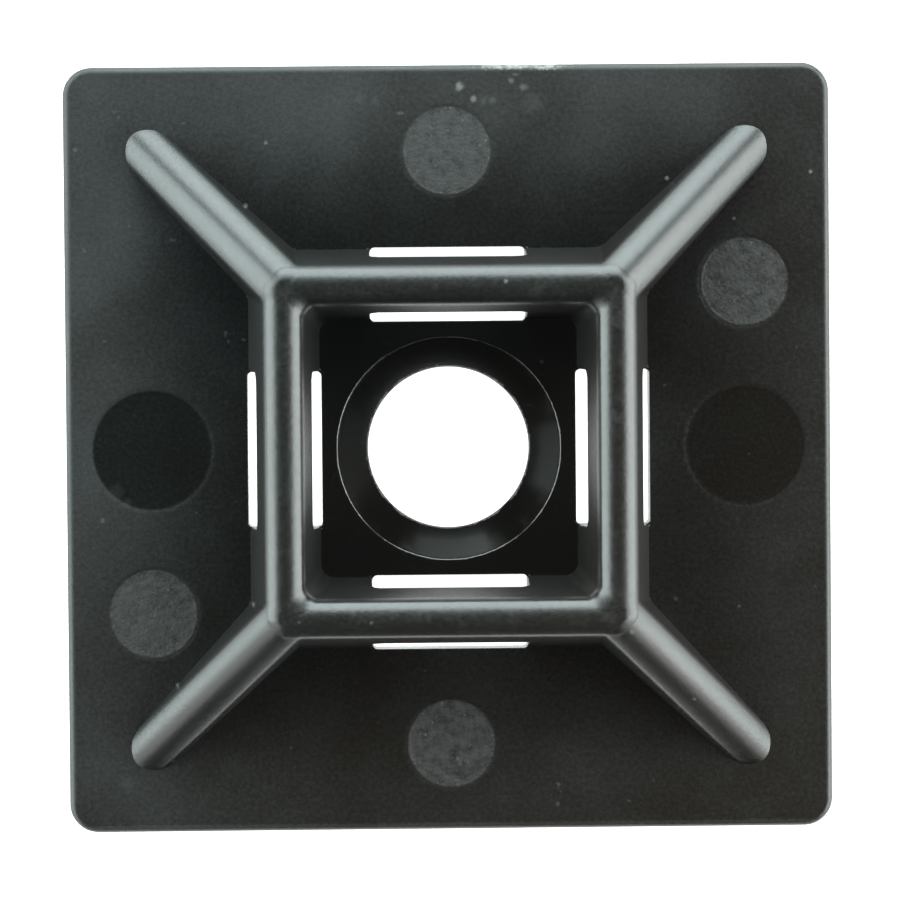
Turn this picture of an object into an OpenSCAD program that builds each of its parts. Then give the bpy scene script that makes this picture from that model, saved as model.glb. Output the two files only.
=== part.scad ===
// Four-way cable tie mount, moulded in one piece.
// A square plate carries a raised square frame. Each side of the frame bridges
// a window, so a tie can be threaded under it from any of the four sides.
// Four ribs run from the corners of the frame down to the plate, and a
// countersunk hole in the middle takes the fixing screw.

/* [Base plate] */
// Length of each side of the square plate
base_size = 28; // [27:0.5:40]
// Thickness of the plate
base_thick = 1.4; // [1.3:0.1:2.4]
// Plan radius of the plate's corners
corner_r = 1.05; // [0.6:0.05:1.6]
// Rounding of the plate's upper rim
rim_r = 0.3; // [0.1:0.05:0.5]

/* [Screw hole] */
// Diameter of the screw's clearance hole
hole_d = 5.9; // [4:0.1:6.5]
// Diameter of the countersink at the face of the plate
sink_d = 8.2; // [7:0.1:8.6]
// Height of the hole's straight wall, below the countersink
hole_land = 0.3; // [0.2:0.05:0.6]

/* [Tie frame] */
// Distance between the centre lines of opposite bars
bar_pitch = 12; // [11.8:0.1:13.4]
// Height of a bar's crest above the plate
frame_h = 4.2; // [3.9:0.1:6]
// Width of a bar across its shoulders, where the crown meets the flanks
shoulder_w = 1.44; // [1.2:0.02:1.6]
// Radius of a bar's crown
crown_r = 0.95; // [0.85:0.05:1.4]
// Width of the frame's walls where they meet the plate
foot_w = 2.6; // [2.2:0.05:2.8]
// Fillet between the walls and the plate
foot_fillet = 0.1; // [0.06:0.02:0.24]
// Plan radius of the frame's inner corners, at the plate
inner_r = 0.35; // [0.2:0.05:0.5]

/* [Tie windows] */
// Length of each window along its bar, for the width of a tie
window_l = 5.7; // [4:0.1:6.2]
// Clear height of each window above the plate
window_h = 1.9; // [1.5:0.1:2.4]
// Rounding of the window's upper corners
window_r = 0.45; // [0.2:0.05:0.7]
// How far the slot through the plate stands out past the wall, on each side
slot_margin = 0.05; // [0.02:0.01:0.2]
// Rounding of the slot's corners
slot_r = 0.3; // [0.1:0.05:0.5]

/* [Ribs] */
// Distance from a rib's tip to the two nearest sides of the plate
rib_margin = 2.5; // [1.4:0.1:3.2]
// How far a rib's crest lies below the crest of the frame
rib_step = 0.04; // [0.02:0.01:0.2]
// Level stretch of a rib's crest, before it starts to fall
rib_level = 0.25; // [0.1:0.05:0.8]
// Width of a rib across its shoulders
rib_shoulder_w = 1.8; // [1.4:0.05:2]
// Radius of a rib's crown
rib_crown_r = 1.3; // [1.05:0.05:1.8]
// Draft of a rib's flanks, in degrees
rib_draft = 5.5; // [2:0.5:8]

/* [Moulding marks] */
// Diameter of the four small ejector pin marks
pin_d = 3.25; // [2:0.25:3.75]
// Depth of the small marks
pin_depth = 0.08; // [0.04:0.01:0.15]
// Diameter of the two large pin marks
big_pin_d = 4.4; // [3:0.2:4.8]
// Depth of the large marks
big_pin_depth = 0.05; // [0.04:0.01:0.12]
// Distance from the marks' centres to the side of the plate
pin_margin = 3.15; // [2.9:0.05:3.4]

/* [Hidden] */
$fn = 64;
// A small length by which cuts run past the faces they open
past = 0.5;
// How deep the ribs and walls are rooted in the plate
root = 0.4;
// How far a feather edge is buried in the wall it blends with
bury = 0.02;
bar_offset = bar_pitch / 2;
frame_top = base_thick + frame_h;
sink_depth = base_thick - hole_land;
slot_w = foot_w + 2 * slot_margin;
pin_reach = base_size / 2 - pin_margin;
// Vertical drop from a crown's crest to its shoulders
crown_drop = crown_r - sqrt(pow(crown_r, 2) - pow(shoulder_w / 2, 2));
rib_crown_drop = rib_crown_r - sqrt(pow(rib_crown_r, 2) - pow(rib_shoulder_w / 2, 2));
shoulder_h = frame_h - crown_drop;
// Sideways growth of a wall's flank for each millimetre down
wall_draft = (foot_w - shoulder_w) / 2 / shoulder_h;
wall_draft_angle = atan(wall_draft);
// Length along the flank and along the plate that the foot's fillet takes up
fillet_run = foot_fillet * tan(45 - wall_draft_angle / 2);
// A rib in plan: from the frame's crest to the tip, and the part that falls
rib_run = (base_size / 2 - rib_margin - bar_offset) * sqrt(2);
rib_slope_run = rib_run - rib_level;
rib_h = frame_h - rib_step;
rib_fall = atan(rib_h / rib_slope_run);
rib_deep = rib_h + root;
// Inner flank of the frame at the plate
inner_foot = bar_offset - foot_w / 2;

// Section of the plate's rim: flat below, rounded at its upper outer edge.
module rim_section() {
    square([corner_r - rim_r, base_thick]);
    square([corner_r, base_thick - rim_r]);
    translate([corner_r - rim_r, base_thick - rim_r])
        circle(rim_r);
}

// Plain plate with rounded corners and a rounded upper rim. Its middle
// runs under the rim strips, which joins it to them.
module plate() {
    core = base_size - 2 * corner_r;
    lap = (corner_r - rim_r) / 2;
    linear_extrude(base_thick)
        square(core + 2 * lap, center = true);
    for (turn = [0:90:270])
        rotate(turn)
            translate([core / 2, core / 2, 0]) {
                rotate([90, 0, 0])
                    linear_extrude(core)
                        rim_section();
                rotate_extrude()
                    rim_section();
            }
}

// Section of a bar, from its root in the plate to its crown.
// The origin is on the plate's face, at the middle of the bar.
module bar_section() {
    intersection() {
        polygon([
            [-foot_w / 2 - wall_draft * root, -root],
            [foot_w / 2 + wall_draft * root, -root],
            [shoulder_w / 2 - wall_draft * crown_drop, frame_h],
            [-shoulder_w / 2 + wall_draft * crown_drop, frame_h]
        ]);
        union() {
            translate([-foot_w, -root])
                square([2 * foot_w, root + shoulder_h]);
            translate([0, frame_h - crown_r])
                circle(crown_r);
        }
    }
    for (side = [0, 1])
        mirror([side, 0])
            foot_fillet_section();
}

// Fillet that runs along the foot of a drafted wall, touching both faces.
module foot_fillet_section() {
    fillet_x = foot_w / 2 + fillet_run;
    fillet_y = fillet_run * cos(wall_draft_angle);
    difference() {
        polygon([
            [0, -root],
            [fillet_x, -root],
            [fillet_x, 0],
            [foot_w / 2 - wall_draft * fillet_y, fillet_y],
            [0, fillet_y]
        ]);
        translate([fillet_x, foot_fillet])
            circle(foot_fillet);
    }
}

// One side of the frame: mitred inside its centre line, square outside it.
module frame_bar() {
    reach = bar_offset + foot_w;
    intersection() {
        translate([reach, bar_offset, base_thick])
            rotate([90, 0, -90])
                linear_extrude(2 * reach)
                    bar_section();
        linear_extrude(frame_top + past)
            polygon([
                [0, 0],
                [bar_offset, bar_offset],
                [bar_offset, reach],
                [-bar_offset, reach],
                [-bar_offset, bar_offset]
            ]);
    }
}

// Outer corner of the frame: half the bar's section, turned about the crest.
module outer_corner() {
    translate([bar_offset, bar_offset, base_thick])
        rotate_extrude(angle = 90)
            intersection() {
                bar_section();
                translate([0, -root])
                    square([foot_w, frame_h + root]);
            }
}

// Rounds an inner corner of the frame: a block in the corner, less a cone
// that runs into both drafted walls.
module inner_corner() {
    centre = inner_foot - inner_r + bury;
    difference() {
        translate([centre, centre, base_thick - root])
            cube([bar_offset - centre, bar_offset - centre, shoulder_h + root - bury]);
        translate([centre, centre, base_thick - root])
            cylinder(h = shoulder_h + root + past,
                     r1 = inner_r - wall_draft * root,
                     r2 = inner_r + wall_draft * (shoulder_h + past));
    }
}

// Section of a rib, square to its crest, which is at the origin.
module rib_section() {
    intersection() {
        foot = rib_shoulder_w / 2 + tan(rib_draft) * (rib_deep - rib_crown_drop);
        crest = rib_shoulder_w / 2 - tan(rib_draft) * rib_crown_drop;
        polygon([[-foot, -rib_deep], [foot, -rib_deep], [crest, 0], [-crest, 0]]);
        union() {
            translate([-foot, -rib_deep])
                square([2 * foot, rib_deep - rib_crown_drop]);
            translate([0, -rib_crown_r])
                circle(rib_crown_r);
        }
    }
}

// Length of rib whose crest leaves the origin along +X, falling by an angle.
module rib_length(length, fall) {
    rotate([0, fall, 0])
        rotate([90, 0, 90])
            linear_extrude(length)
                rib_section();
}

// Rib that runs level out of a corner of the frame, then falls to the plate.
module rib() {
    lead = rib_deep * sin(rib_fall);
    rotate(45)
        translate([bar_offset * sqrt(2), 0, base_thick + rib_h]) {
            intersection() {
                rib_length(rib_level, 0);
                translate([0, -foot_w, -rib_deep])
                    cube([rib_level, 2 * foot_w, rib_deep]);
            }
            intersection() {
                translate([rib_level, 0, 0])
                    rib_length((rib_slope_run + root) / cos(rib_fall) + lead, rib_fall);
                translate([rib_level, -foot_w, -rib_deep])
                    cube([rib_slope_run + root, 2 * foot_w, rib_deep]);
            }
        }
}

// Clearance hole and countersink for the screw.
module screw_hole() {
    translate([0, 0, -past])
        cylinder(h = base_thick + 2 * past, d = hole_d);
    slope = (sink_d - hole_d) / 2 / sink_depth;
    translate([0, 0, base_thick - sink_depth])
        cylinder(h = sink_depth + past, d1 = hole_d, d2 = sink_d + 2 * slope * past);
}

// Section of a tie window across its bar, with rounded upper corners.
module window_section() {
    translate([-window_l / 2, 0])
        square([window_l, window_h - window_r]);
    translate([-window_l / 2 + window_r, 0])
        square([window_l - 2 * window_r, window_h]);
    for (side = [-1, 1])
        translate([side * (window_l / 2 - window_r), window_h - window_r])
            circle(window_r);
}

// Outline of the slot that opens the plate below a bar.
module slot_outline() {
    for (x = [-1, 1], y = [-1, 1])
        translate([x * (window_l / 2 - slot_r), y * (slot_w / 2 - slot_r)])
            circle(slot_r);
    square([window_l - 2 * slot_r, slot_w], center = true);
    square([window_l, slot_w - 2 * slot_r], center = true);
}

// Passage for a tie: under the bar, and down through the plate.
module tie_window() {
    depth = foot_w + 2 * foot_fillet + past;
    translate([0, bar_offset + depth / 2, base_thick])
        rotate([90, 0, 0])
            linear_extrude(depth)
                window_section();
    translate([0, bar_offset, -past])
        linear_extrude(base_thick + 2 * past)
            slot_outline();
}

// Shallow round mark that an ejector pin leaves in the plate's face.
module pin_mark(place, d, depth) {
    translate([place.x, place.y, base_thick - depth])
        cylinder(h = depth + past, d = d);
}

// The whole moulding.
module tie_mount() {
    color("#2c2f30")
        difference() {
            union() {
                plate();
                for (turn = [0:90:270])
                    rotate(turn) {
                        frame_bar();
                        outer_corner();
                        inner_corner();
                        rib();
                    }
            }
            screw_hole();
            for (turn = [0:90:270])
                rotate(turn)
                    tie_window();
            for (side = [-1, 1]) {
                pin_mark([0, side * pin_reach], pin_d, pin_depth);
                pin_mark([side * pin_reach, side * bar_offset], pin_d, pin_depth);
                pin_mark([side * pin_reach, 0], big_pin_d, big_pin_depth);
            }
        }
}

tie_mount();
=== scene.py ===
"""Four-way cable tie mount: a square plate with a raised frame that ties pass under."""

import math

import bpy
import numpy as np
from mathutils import Euler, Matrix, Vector
from mathutils.geometry import delaunay_2d_cdt


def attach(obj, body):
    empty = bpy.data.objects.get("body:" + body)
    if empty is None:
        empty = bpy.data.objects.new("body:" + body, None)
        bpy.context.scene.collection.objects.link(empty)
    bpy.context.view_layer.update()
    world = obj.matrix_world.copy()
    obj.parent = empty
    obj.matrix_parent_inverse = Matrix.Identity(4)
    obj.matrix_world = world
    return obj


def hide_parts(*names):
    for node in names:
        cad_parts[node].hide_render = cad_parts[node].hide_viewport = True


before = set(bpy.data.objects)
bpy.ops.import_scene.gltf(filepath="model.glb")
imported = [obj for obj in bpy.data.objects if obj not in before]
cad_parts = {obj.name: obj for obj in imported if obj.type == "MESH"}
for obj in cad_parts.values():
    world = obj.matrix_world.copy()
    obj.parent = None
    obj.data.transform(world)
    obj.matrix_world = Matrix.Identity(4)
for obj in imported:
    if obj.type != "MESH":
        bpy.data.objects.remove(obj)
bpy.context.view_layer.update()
scene = bpy.context.scene
MM = 0.001


# ----------------------------------------------------------------------------
# The moulding: plate, frame, ribs, screw hole, tie windows and ejector marks,
# all shot in one piece in black nylon 6/6 and held down by a screw through
# the middle. Its sizes are in millimetres.
# ----------------------------------------------------------------------------
PLATE = 28.0
PLATE_T = 1.4
CORNER_R = 1.05
RIM_R = 0.22
UNDERSIDE_R = 0.08

BAR_AT = 6.0
FRAME_H = 4.2
BAR_SHOULDER = 1.44
BAR_CROWN_R = 0.95
BAR_FOOT = 2.6
BAR_CREST_R = 0.12
INNER_CORNER_R = 0.5
INNER_CORNER_FADE = 0.3
OUTER_CORNER_BOW = 1.3

RIB_MARGIN = 2.5
RIB_SHOULDER = 1.8
RIB_CROWN_R = 1.3
RIB_DRAFT = math.tan(math.radians(5.5))
RIB_CREST_R = 0.15
RIB_SINK_INTO_BAR = 0.3
RIB_BLEND_R = 0.08
RIB_TURN_R = 0.9
RIB_LEVEL = RIB_TURN_R * math.tan(math.radians(29.1) / 2)

HOLE_D = 5.9
SINK_D = 8.2
HOLE_LAND = 0.24
ROOT_DEPTH = 0.6

WINDOW_L = 5.7
WINDOW_H = 1.9
WINDOW_R = 0.45
WINDOW_EDGE_R = 0.06
SLOT_W = 2.7
SLOT_R = 0.18
OPENING_EDGE_R = 0.02

MARK_AT = 10.85
SMALL_MARKS = [(x, y, 3.25, 0.03) for x, y in ((0, MARK_AT), (0, -MARK_AT), (MARK_AT, BAR_AT), (-MARK_AT, -BAR_AT))]
LARGE_MARKS = [(x, y, 4.4, 0.02) for x, y in ((-MARK_AT, 0), (MARK_AT, 0))]
MARKS = SMALL_MARKS + LARGE_MARKS
MARK_SLOPE = 0.24


def join(a, b, r):
    """Union of two distances, with a fillet of radius r between them."""
    return np.maximum(np.minimum(a, b), r) - np.hypot(np.maximum(r - a, 0), np.maximum(r - b, 0))


def meet(a, b, r):
    """Intersection of two distances, with the edge between them rounded to r."""
    return np.minimum(np.maximum(a, b), -r) + np.hypot(np.maximum(r + a, 0), np.maximum(r + b, 0))


def rounded_box(x, y, half_x, half_y, r):
    """Distance in plan to a rectangle with rounded corners."""
    qx, qy = np.abs(x) - half_x + r, np.abs(y) - half_y + r
    return np.hypot(np.maximum(qx, 0), np.maximum(qy, 0)) + np.minimum(np.maximum(qx, qy), 0) - r


def wall(across, above, shoulder, crown_r, draft, edge):
    """A drafted wall with a round crown. above is measured from its crest."""
    drop = crown_r - math.sqrt(crown_r**2 - (shoulder / 2) ** 2)
    flank = (across - shoulder / 2 + draft * (above + drop)) / math.hypot(1, draft)
    up = above + crown_r
    crown = np.hypot(np.minimum(across, 0.95 * crown_r), np.maximum(up, 0)) - crown_r + np.minimum(up, 0)
    return meet(flank, crown, edge)


def crest_line(x, y):
    """Distance in plan from the frame's crest, which is sharp at its corners.

    Just below the crest the inner corners are filled to their radius.
    """
    a, b = BAR_AT - np.abs(x), BAR_AT - np.abs(y)
    low = np.minimum(a, b)
    r = INNER_CORNER_R * np.clip(low / INNER_CORNER_FADE, 0.001, 1)
    turn = np.sqrt(np.maximum(2 * r * r - (a - b) ** 2, 0))
    inside = np.where(np.abs(a - b) < r, (a + b + turn) / 2 - r, low)
    bow = OUTER_CORNER_BOW
    outside = (np.maximum(-a, 0) ** bow + np.maximum(-b, 0) ** bow) ** (1 / bow)
    return np.where(low > 0, np.maximum(inside, 0), outside)


def flat_plate(p):
    """Distance to the plate with its ejector marks, without its openings."""
    x, y, z = p
    top = z - PLATE_T
    for mx, my, d, deep in MARKS:
        within = np.clip(0.5 - (np.hypot(x - mx, y - my) - d / 2) / MARK_SLOPE, 0, 1)
        top = top + deep * within**2 * (3 - 2 * within)
    plate = meet(rounded_box(x, y, PLATE / 2, PLATE / 2, CORNER_R), top, RIM_R)
    return meet(plate, -z, UNDERSIDE_R)


def raised_work(p):
    """Distance to the frame and its ribs, which stand on the plate."""
    x, y, z = p
    up = z - PLATE_T
    drop = BAR_CROWN_R - math.sqrt(BAR_CROWN_R**2 - (BAR_SHOULDER / 2) ** 2)
    draft = (BAR_FOOT - BAR_SHOULDER) / 2 / (FRAME_H - drop)
    bars = wall(crest_line(x, y), up - FRAME_H, BAR_SHOULDER, BAR_CROWN_R, draft, BAR_CREST_R)

    ax, ay = np.abs(x), np.abs(y)
    out, across = (ax + ay) / math.sqrt(2), np.abs(ax - ay) / math.sqrt(2)
    past = np.maximum(out - BAR_AT * math.sqrt(2), 0)
    run = (PLATE / 2 - RIB_MARGIN - BAR_AT) * math.sqrt(2) - RIB_LEVEL
    lean = math.atan2(FRAME_H, run)
    turn = RIB_TURN_R * math.sin(lean)
    fall = np.where(past < turn, RIB_TURN_R - np.sqrt(RIB_TURN_R**2 - np.minimum(past, turn) ** 2),
                    RIB_TURN_R * (1 - math.cos(lean)) + (past - turn) * math.tan(lean))
    tilt = np.minimum(past / turn, 1) * (1 - math.cos(lean))
    ribs = wall(across, (up - FRAME_H + fall) * (1 - tilt), RIB_SHOULDER, RIB_CROWN_R, RIB_DRAFT, RIB_CREST_R)
    ribs = meet(ribs, BAR_AT * math.sqrt(2) - RIB_SINK_INTO_BAR - out, 0.1)
    raised = np.maximum(join(bars, ribs, RIB_BLEND_R), up - FRAME_H)

    side = np.minimum(ax, ay) - WINDOW_L / 2 + WINDOW_R
    head = up - WINDOW_H + WINDOW_R
    tunnel = np.hypot(np.maximum(side, 0), np.maximum(head, 0)) + np.minimum(np.maximum(side, head), 0) - WINDOW_R
    return np.maximum(meet(raised, -tunnel, WINDOW_EDGE_R), -ROOT_DEPTH - up)


def openings(p):
    """Distance to the screw hole and the slots."""
    x, y, z = p
    up = z - PLATE_T
    around = np.hypot(x, y)
    slope = (SINK_D - HOLE_D) / 2 / (PLATE_T - HOLE_LAND)
    sink = (around - HOLE_D / 2 - slope * (z - HOLE_LAND)) / math.hypot(1, slope)
    hole = join(around - HOLE_D / 2, np.maximum(sink, up - 0.3), OPENING_EDGE_R)
    along, beside = np.minimum(np.abs(x), np.abs(y)), np.abs(np.maximum(np.abs(x), np.abs(y)) - BAR_AT)
    slot = rounded_box(along, beside, WINDOW_L / 2, SLOT_W / 2, SLOT_R)
    return np.minimum(hole, np.maximum(slot, up - 0.5))


def moulding(p):
    """Distance to the surface of the whole moulding."""
    return meet(np.minimum(flat_plate(p), raised_work(p)), -openings(p), OPENING_EDGE_R)


def grid_lines(steps):
    """Lines of a grid from the middle outwards, each stretch with its own step."""
    lines = [0.0]
    for end, step in steps:
        count = max(1, round((end - lines[-1]) / step))
        lines += list(np.linspace(lines[-1], end, count + 1)[1:])
    return lines


def skin(field, xs, ys, zs):
    """Quad mesh of a distance field's surface, with one point in each cell it crosses."""
    values = np.stack([field((x + 0 * ys[:, None] * zs, ys[:, None] + 0 * zs, zs + 0 * ys[:, None])) for x in xs])
    inside = values < 0
    grid = (xs, ys, zs)
    total = np.zeros(tuple(n - 1 for n in values.shape) + (3,))
    count = np.zeros(total.shape[:3])
    for axis in range(3):
        lower = [slice(None)] * 3
        upper = [slice(None)] * 3
        lower[axis], upper[axis] = slice(None, -1), slice(1, None)
        va, vb = values[tuple(lower)], values[tuple(upper)]
        crossed = inside[tuple(lower)] != inside[tuple(upper)]
        i = np.argwhere(crossed)
        t = va[crossed] / (va[crossed] - vb[crossed])
        spot = np.stack([grid[k][i[:, k]] for k in range(3)], 1)
        spot[:, axis] += t * (grid[axis][i[:, axis] + 1] - grid[axis][i[:, axis]])
        others = [k for k in range(3) if k != axis]
        for da in (0, 1):
            for db in (0, 1):
                cell = i.copy()
                cell[:, others[0]] -= da
                cell[:, others[1]] -= db
                ok = np.all((cell >= 0) & (cell < np.array(count.shape)), axis=1)
                np.add.at(total, tuple(cell[ok].T), spot[ok])
                np.add.at(count, tuple(cell[ok].T), 1)
    used = count > 0
    index = np.full(count.shape, -1)
    index[used] = np.arange(used.sum())
    points = total[used] / count[used][:, None]
    quads = []
    for axis in range(3):
        lower = [slice(1, -1)] * 3
        upper = [slice(1, -1)] * 3
        lower[axis], upper[axis] = slice(None, -1), slice(1, None)
        a, b = inside[tuple(lower)], inside[tuple(upper)]
        i = np.argwhere(a != b)
        leaving = a[a != b]
        u, v = [k for k in range(3) if k != axis]
        corner = []
        for du, dv in ((0, 0), (1, 0), (1, 1), (0, 1)):
            cell = i.copy()
            cell[:, u] += du
            cell[:, v] += dv
            corner.append(index[tuple(cell.T)])
        quad = np.stack(corner, 1)
        flip = leaving if axis == 1 else ~leaving
        quad[flip] = quad[flip][:, ::-1]
        quads.append(quad)
    return points, np.concatenate(quads), np.argwhere(used)


def slopes(field, points, eps=0.004):
    """Direction in which a distance field grows fastest, at each point."""
    out = np.empty_like(points)
    for axis in range(3):
        step = np.zeros(3)
        step[axis] = eps
        ahead, behind = (points + step).T, (points - step).T
        out[:, axis] = field(tuple(ahead)) - field(tuple(behind))
    return out / (2 * eps)


def settle(points, cells, xs, ys, zs):
    """Moves the mesh's points onto the skin, and those at the raised work's foot onto its line.

    Returns which points lie at the foot.
    """
    for _ in range(4):
        grad = slopes(moulding, points)
        points -= moulding(tuple(points.T))[:, None] * grad / np.maximum((grad**2).sum(1), 0.2)[:, None]
    lows = np.stack([g[cells[:, k]] for k, g in enumerate((xs, ys, zs))], 1)
    highs = np.stack([g[cells[:, k] + 1] for k, g in enumerate((xs, ys, zs))], 1)
    foot = points.copy()
    for _ in range(6):
        values = np.stack([flat_plate(tuple(foot.T)), raised_work(tuple(foot.T))], 1)
        grads = np.stack([slopes(flat_plate, foot), slopes(raised_work, foot)], 1)
        gram = grads @ grads.transpose(0, 2, 1) + 1e-6 * np.eye(2)
        step = np.linalg.solve(gram, values[:, :, None])
        foot -= np.clip((grads.transpose(0, 2, 1) @ step)[:, :, 0], -0.2, 0.2)
    near = np.all((foot.round(6) >= lows.round(6)) & (foot.round(6) < highs.round(6)), axis=1)
    near &= (np.abs(values).max(1) < 1e-4) & (openings(tuple(foot.T)) > 0.04)
    points[near] = foot[near]
    return np.maximum(np.abs(flat_plate(tuple(points.T))), np.abs(raised_work(tuple(points.T)))) < 0.06


def corner_normals(points, quads, on_foot):
    """Normal at each corner of each face, split along the foot of the raised work."""
    normals = slopes(moulding, points)
    normals /= np.linalg.norm(normals, axis=1)[:, None]
    out = normals[quads]
    middle = points[quads].mean(1)
    on_plate = flat_plate(tuple(middle.T)) < raised_work(tuple(middle.T))
    for owner, field in ((on_plate, flat_plate), (~on_plate, raised_work)):
        own = slopes(field, points)
        own /= np.maximum(np.linalg.norm(own, axis=1), 1e-9)[:, None]
        pick = owner[:, None] & on_foot[quads]
        out[pick] = own[quads][pick]
    return out


def inside_border(tris, border):
    """Those triangles that lie on the left of a closed border's directed sides."""
    side_of = {(t[k], t[(k + 1) % 3]): n for n, t in enumerate(tris) for k in range(3)}
    border = set(border)
    inside = {side_of[side] for side in border if side in side_of}
    reached = list(inside)
    while reached:
        t = tris[reached.pop()]
        for side in ((t[0], t[1]), (t[1], t[2]), (t[2], t[0])):
            beyond = side_of.get(side[::-1])
            if side not in border and beyond is not None and beyond not in inside:
                inside.add(beyond)
                reached.append(beyond)
    return [tris[n] for n in sorted(inside)]


def merge_flats(points, quads, normals):
    """Turns the cells of each flat face into a few triangles that keep its outline."""
    facing = normals.mean(1)
    even = np.abs(normals - facing[:, None]).max(axis=(1, 2)) < 0.0015
    reach = (points[quads[:, 0]] * facing).sum(1)
    plane = np.round(np.column_stack([facing * 300, reach * 50])).astype(int)
    _, group, size = np.unique(plane, axis=0, return_inverse=True, return_counts=True)
    group = group.ravel()
    even &= size[group] > 60
    faces, corners = quads[~even].tolist(), list(normals[~even].reshape(-1, 3))
    for g in np.unique(group[even]):
        cells = quads[even & (group == g)]
        sides = {(int(c[k]), int(c[(k + 1) % 4])) for c in cells for k in range(4)}
        border = [e for e in sides if (e[1], e[0]) not in sides]
        order = sorted({i for e in border for i in e})
        place = {i: n for n, i in enumerate(order)}
        normal = Vector(facing[even & (group == g)].mean(axis=0)).normalized()
        right = normal.orthogonal().normalized()
        ahead = normal.cross(right)
        flat = [Vector((right.dot(points[i]), ahead.dot(points[i]))) for i in order]
        _, _, tris, came_from, _, _ = delaunay_2d_cdt(flat, [(place[a], place[b]) for a, b in border], [], 1, 1e-7)
        if any(len(source) != 1 for source in came_from):
            faces += cells.tolist()
            corners += [normal] * (4 * len(cells))
            continue
        tris = inside_border([[order[came_from[i][0]] for i in tri] for tri in tris], border)
        faces += tris
        corners += [normal] * (3 * len(tris))
    return faces, corners


half = grid_lines([(2.55, 0.17), (3.0, 0.07), (4.2, 0.15), (4.8, 0.1), (5.1, 0.075), (5.6, 0.06), (6.4, 0.1),
                   (6.9, 0.06), (8.6, 0.1), (13.1, 0.1), (13.6, 0.15), (14.05, 0.05)])
plan = np.array([-v for v in half[:0:-1]] + half)
levels = np.array(grid_lines([(0.25, 0.06), (1.1, 0.17), (1.4, 0.05), (1.56, 0.02), (1.8, 0.06), (2.8, 0.125),
                              (3.5, 0.07), (4.6, 0.125), (5.8, 0.06)])) - 0.11
points, quads, cells = skin(moulding, plan, plan, levels)
on_foot = settle(points, cells, plan, plan, levels)
faces, corners = merge_flats(points, quads, corner_normals(points, quads, on_foot))
kept = np.unique(np.concatenate([np.array(f) for f in faces]))
renumber = np.zeros(len(points), int)
renumber[kept] = np.arange(len(kept))

mesh = bpy.data.meshes.new("tie_mount_moulding")
mesh.from_pydata((points[kept] * MM).tolist(), [], [[int(renumber[i]) for i in f] for f in faces])
mesh.shade_smooth()
mesh.normals_split_custom_set([tuple(c) for c in corners])
mount = bpy.data.objects.new("tie_mount_moulding", mesh)
scene.collection.objects.link(mount)

# The nylon's colours, browner and greener shades that also carry a painted tint of warm and cool light, and the
# grey white of dust and broken edges. Lengths are in millimetres.
NYLON_BROWNER_PAINTED_WARM = (0.0058, 0.0032, 0.0017, 1)
NYLON_GREENER_PAINTED_COOL = (0.0022, 0.0032, 0.003, 1)
WORN_WHITE = (0.55, 0.57, 0.54, 1)
GRAIN_DEPTH = 0.006 * MM
MARK_EDGE = 0.07

nylon = bpy.data.materials.new("black_nylon")
nylon.use_nodes = True
nodes, links = nylon.node_tree.nodes, nylon.node_tree.links
shader = nodes["Principled BSDF"]


def add(kind, inputs, out=0, **settings):
    """Adds a node to the nylon, with its inputs set or linked, and gives one of its outputs."""
    node = nodes.new("ShaderNode" + kind)
    for key, value in settings.items():
        setattr(node, key, value)
    for key, value in inputs.items():
        if isinstance(value, bpy.types.NodeSocket):
            links.new(value, node.inputs[key])
        else:
            node.inputs[key].default_value = value
    return node.outputs[out]


def maths(operation, *values):
    """A sum on numbers."""
    return add("Math", dict(enumerate(values)), operation=operation)


def mix(share, a, b):
    """a where share is 0 and b where it is 1."""
    return add("Mix", {0: share, 2: a, 3: b})


def ramp(value, start, end, low=0.0, high=1.0):
    """Goes smoothly from low to high while value goes from start to end."""
    return add("MapRange", {"Value": value, "From Min": start, "From Max": end, "To Min": low, "To Max": high},
               interpolation_type="SMOOTHSTEP")


def noise(scale, detail, rough):
    """Cloudy noise, with scale in waves per millimetre."""
    return add("TexNoise", {"Vector": at, "Scale": scale, "Detail": detail, "Roughness": rough})


def distance_from(mx, my):
    """Distance in plan from a point on the plate."""
    return add("VectorMath", {0: in_plan, 1: (mx, my, 0)}, out=1, operation="DISTANCE")


def largest(masks):
    """The largest of several masks."""
    found = masks[0]
    for mask in masks[1:]:
        found = maths("MAXIMUM", found, mask)
    return found


def marks_mask(marks, inset):
    """1 on the ejector marks and 0 elsewhere, with soft edges."""
    discs = [ramp(distance_from(mx, my), d / 2 - inset - MARK_EDGE, d / 2 - inset + MARK_EDGE, 1, 0)
             for mx, my, d, _ in marks]
    return maths("MULTIPLY", largest(discs), on_top)


at = add("VectorMath", {0: add("TexCoord", {}, out=3), "Scale": 1000.0}, operation="SCALE")
x, y, z = (add("SeparateXYZ", {0: at}, out=k) for k in range(3))
in_plan = add("CombineXYZ", {0: x, 1: y})
furthest = maths("MAXIMUM", maths("ABSOLUTE", x), maths("ABSOLUTE", y))
lie = add("VectorMath", {0: in_plan, 1: (-0.5, 0.5, 0)}, out=1, operation="DOT_PRODUCT")
# A ramp across the plate, 0 at the lower right and 1 at the upper left. It varies the roughness, and it also paints
# the nylon's colour greener towards the upper left as cool light and browner towards the lower right as warm light.
towards_upper_left = ramp(lie, -13, 13)
on_top = ramp(z, 1.2, 1.3)
on_plate = ramp(z, 1.42, 1.5, 1, 0)
well = maths("MULTIPLY", ramp(furthest, 4.6, 4.8, 1, 0), on_plate)
small_mark = marks_mask(SMALL_MARKS, 0.025)
large_mark = marks_mask(LARGE_MARKS, 0.03)
sink = ramp(z, 1.34, 1.38, 1, 0)
clouds = noise(0.22, 3, 0.55)
grain = noise(6.5, 3, 0.65)
mottle = noise(3.2, 4, 0.65)

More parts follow.
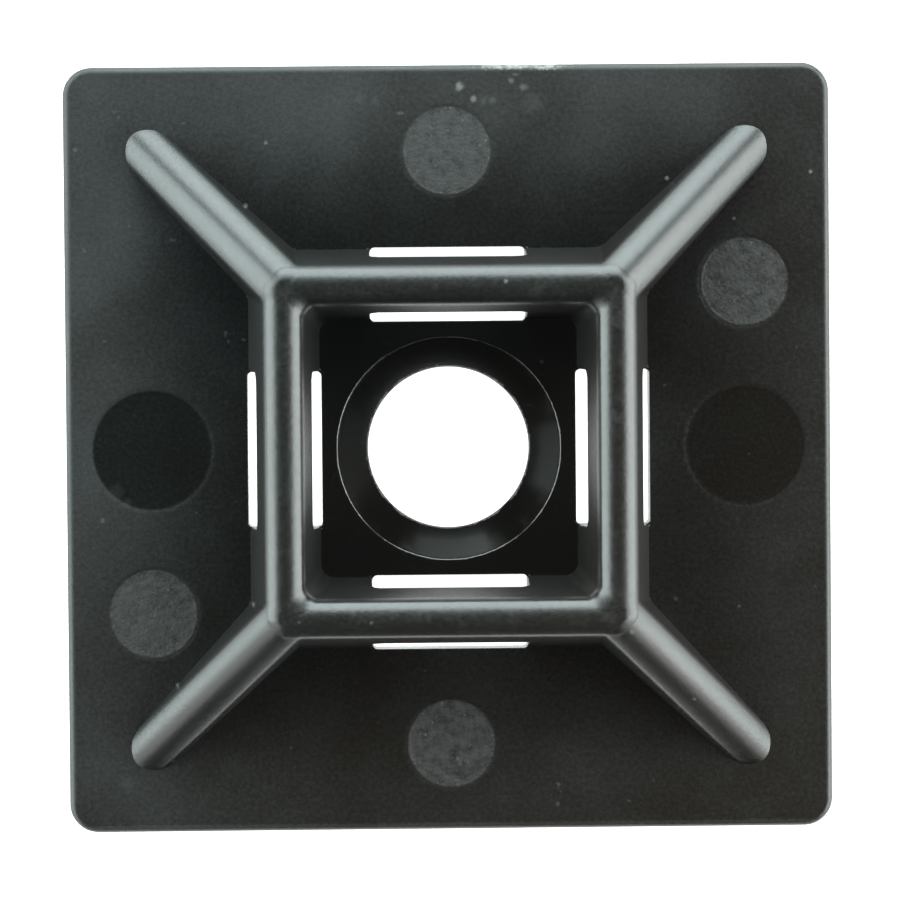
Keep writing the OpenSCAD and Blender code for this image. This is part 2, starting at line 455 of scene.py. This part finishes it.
# The mould's steel leaves its own finish: the plate is matt towards its edges, the well and
# the large marks are polished, and the small marks are coarse.
matt = maths("MULTIPLY", ramp(furthest, 6.8, 13.4, 0, 0.19), ramp(towards_upper_left, 0, 1, 0.25, 1.0))
roughness = maths("ADD", 0.27, matt)
roughness = maths("MULTIPLY_ADD", maths("SUBTRACT", clouds, 0.5), 0.22, roughness)
roughness = mix(well, roughness, mix(sink, 0.19, 0.11))
roughness = mix(on_plate, maths("MULTIPLY_ADD", clouds, 0.1, 0.29), roughness)
roughness = mix(large_mark, roughness, maths("MULTIPLY_ADD", clouds, 0.14, 0.17))
roughness = mix(small_mark, roughness, maths("MULTIPLY_ADD", mottle, 0.55, maths("MULTIPLY_ADD", towards_upper_left, 0.1, 0.2)))
roughness = maths("MULTIPLY_ADD", maths("SUBTRACT", grain, 0.5), mix(sink, 0.2, 0.04), roughness)

# Handling has scuffed the crests and the rim, and left flecks, dust and a chipped stretch of
# the back rim. Each fleck has its place, its size and how pale it is.
crest = maths("MAXIMUM", ramp(z, 5.35, 5.58), ramp(furthest, 13.75, 13.95))
scuff = maths("MULTIPLY", crest, ramp(noise(1.1, 5, 0.7), 0.5, 0.7))
FLECKS = [(-3.1, 12.75, 0.26, 0.014), (-2.6, 12.7, 0.2, 0.014), (0.5, 13.2, 0.17, 0.1), (1.0, 12.75, 0.14, 0.08),
          (1.35, 12.7, 0.16, 0.03), (1.7, 12.7, 0.16, 0.025), (2.8, 13.15, 0.17, 0.05), (3.2, 12.6, 0.4, 0.012),
          (2.4, 13.4, 0.12, 0.05), (-7.35, 8.9, 0.1, 0.08), (8.05, 9.8, 0.09, 0.08), (-10.0, -8.6, 0.09, 0.06),
          (-7.2, -5.6, 0.1, 0.06), (8.8, -9.15, 0.08, 0.06), (6.45, -6.55, 0.09, 0.06), (10.5, 8.3, 0.08, 0.06),
          (-6.6, 11.2, 0.08, 0.06), (13.3, 10.0, 0.08, 0.08), (2.0, 6.1, 0.09, 0.08), (-2.9, -6.1, 0.09, 0.06),
          (-12.2, -1.5, 0.3, 0.01), (-11.8, -1.9, 0.2, 0.012), (-11.9, -12.2, 0.3, 0.01)]
ragged = maths("MULTIPLY", maths("SUBTRACT", mottle, 0.5), 1.8)
spots = []
for fx, fy, size, strength in FLECKS:
    spots.append(ramp(maths("MULTIPLY_ADD", distance_from(fx, fy), 1 / size, ragged), 0.1, 1.3, strength, 0))
dust = ramp(noise(2.4, 1, 0.4), 0.76, 0.83, 0, 0.03)
specks = maths("MULTIPLY", ramp(noise(5.5, 2, 0.6), 0.63, 0.76), maths("MULTIPLY_ADD", small_mark, 0.04, 0.006))
chip_zone = maths("MULTIPLY", ramp(x, -0.2, 1.6), ramp(x, 4.0, 6.2, 1, 0))
chip_zone = maths("MULTIPLY", chip_zone, maths("MULTIPLY", ramp(y, 13.4, 13.9), ramp(z, 0.95, 1.2)))
chips = ramp(maths("MULTIPLY_ADD", mottle, 0.9, chip_zone), 1.26, 1.6, 0, 0.3)
pale = largest(spots + [dust, specks, chips, maths("MULTIPLY", scuff, 0.008)])
roughness = maths("MULTIPLY_ADD", scuff, 0.03, roughness)
roughness = maths("MULTIPLY_ADD", ramp(furthest, 13.7, 13.85), 0.14, roughness)
roughness = mix(ramp(pale, 0.01, 0.1), roughness, 0.6)
links.new(maths("MAXIMUM", roughness, 0.12), shader.inputs["Roughness"])

# Black nylon, cloudy at random, with a painted light tint over it: greener towards the upper left for cool light,
# browner towards the lower right for warm light.
colour_and_light_tint = add("MixRGB", {0: maths("MULTIPLY_ADD", clouds, 0.6, maths("MULTIPLY", towards_upper_left, 0.7)),
                      1: NYLON_BROWNER_PAINTED_WARM, 2: NYLON_GREENER_PAINTED_COOL}, use_clamp=True)
colour_and_light_tint = add("MixRGB", {0: pale, 1: colour_and_light_tint, 2: WORN_WHITE})
links.new(colour_and_light_tint, shader.inputs["Base Color"])
shader.inputs["Specular IOR Level"].default_value = 0.7

# Spark-eroded grain all over, coarse pits on the small marks, and the chips' broken edges.
height = maths("MULTIPLY_ADD", mottle, maths("MULTIPLY", small_mark, 6.0), grain)
height = maths("MULTIPLY_ADD", pale, 6.0, height)
height = maths("MULTIPLY", height, mix(sink, 1.0, 0.15))
bump = add("Bump", {"Height": height, "Strength": 1.0, "Distance": GRAIN_DEPTH})
links.new(bump, shader.inputs["Normal"])
mesh.materials.append(nylon)

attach(mount, "root")
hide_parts("tie_mount")


# ----------------------------------------------------------------------------
# The floor: a pale, matt sheet that the mount lies on. It glows softly, like
# the top of a light table, so the hole and the slots show it white.
# ----------------------------------------------------------------------------
HALF_SHEET = 1.5

floor_mesh = bpy.data.meshes.new("floor")
floor_mesh.from_pydata([(-HALF_SHEET, -HALF_SHEET, 0), (HALF_SHEET, -HALF_SHEET, 0),
                        (HALF_SHEET, HALF_SHEET, 0), (-HALF_SHEET, HALF_SHEET, 0)], [], [(0, 1, 2, 3)])
floor = bpy.data.objects.new("floor", floor_mesh)
scene.collection.objects.link(floor)
paper = bpy.data.materials.new("paper")
paper.use_nodes = True
paper_shader = paper.node_tree.nodes["Principled BSDF"]
paper_shader.inputs["Base Color"].default_value = (0.82, 0.82, 0.81, 1)
paper_shader.inputs["Roughness"].default_value = 0.9
paper_shader.inputs["Emission Color"].default_value = (1, 1, 1, 1)
paper_shader.inputs["Emission Strength"].default_value = 1.0
floor_mesh.materials.append(paper)


# ----------------------------------------------------------------------------
# The light: three wide soft panels stand low around the mount, to its left,
# its right and behind it, and two dim ones stand at its front corners.
# Nothing hangs straight above it.
# ----------------------------------------------------------------------------
def panel(name, azimuth, elevation, away, width, height, radiance, colour):
    """A soft light panel that faces the mount."""
    light = bpy.data.lights.new(name, "AREA")
    light.shape = "RECTANGLE"
    light.size, light.size_y = width, height
    light.energy = radiance * math.pi * width * height
    light.color = colour
    place = Vector((math.cos(math.radians(azimuth)) * math.cos(math.radians(elevation)),
                    math.sin(math.radians(azimuth)) * math.cos(math.radians(elevation)),
                    math.sin(math.radians(elevation)))) * away
    stand = bpy.data.objects.new(name, light)
    stand.location = place
    stand.rotation_euler = place.to_track_quat("Z", "Y").to_euler()
    stand.visible_camera = False
    scene.collection.objects.link(stand)


panel("panel_left", 170, 28, 0.5, 0.5, 0.42, 8.2, (0.86, 1.0, 0.99))
panel("panel_right", 4, 28, 0.5, 0.56, 0.42, 8.6, (0.91, 1.0, 0.98))
panel("panel_back", 90, 28, 0.5, 0.56, 0.42, 9.2, (0.86, 1.0, 1.0))
panel("panel_left_front", 214, 26, 0.5, 0.3, 0.36, 2.6, (0.95, 1.0, 0.97))
panel("panel_right_front", 324, 26, 0.5, 0.24, 0.36, 2.6, (1.0, 1.0, 0.96))

world = bpy.data.worlds.new("studio")
world.use_nodes = True
world.node_tree.nodes["Background"].inputs["Color"].default_value = (0.9, 0.95, 1.0, 1)
world.node_tree.nodes["Background"].inputs["Strength"].default_value = 0.04
scene.world = world


# ----------------------------------------------------------------------------
# The camera: a long lens, almost straight above the mount.
# ----------------------------------------------------------------------------
lens = bpy.data.cameras.new("camera")
lens.lens = 217.6
lens.sensor_width = 36
lens.clip_start = 0.01
camera = bpy.data.objects.new("camera", lens)
camera.location = Vector((-3.84, 7.118, 200.329)) * MM
camera.rotation_euler = Euler([math.radians(a) for a in (-2.061, -1.134, -0.479)], "XYZ")
scene.collection.objects.link(camera)
scene.camera = camera
scene.view_settings.view_transform = "Standard"
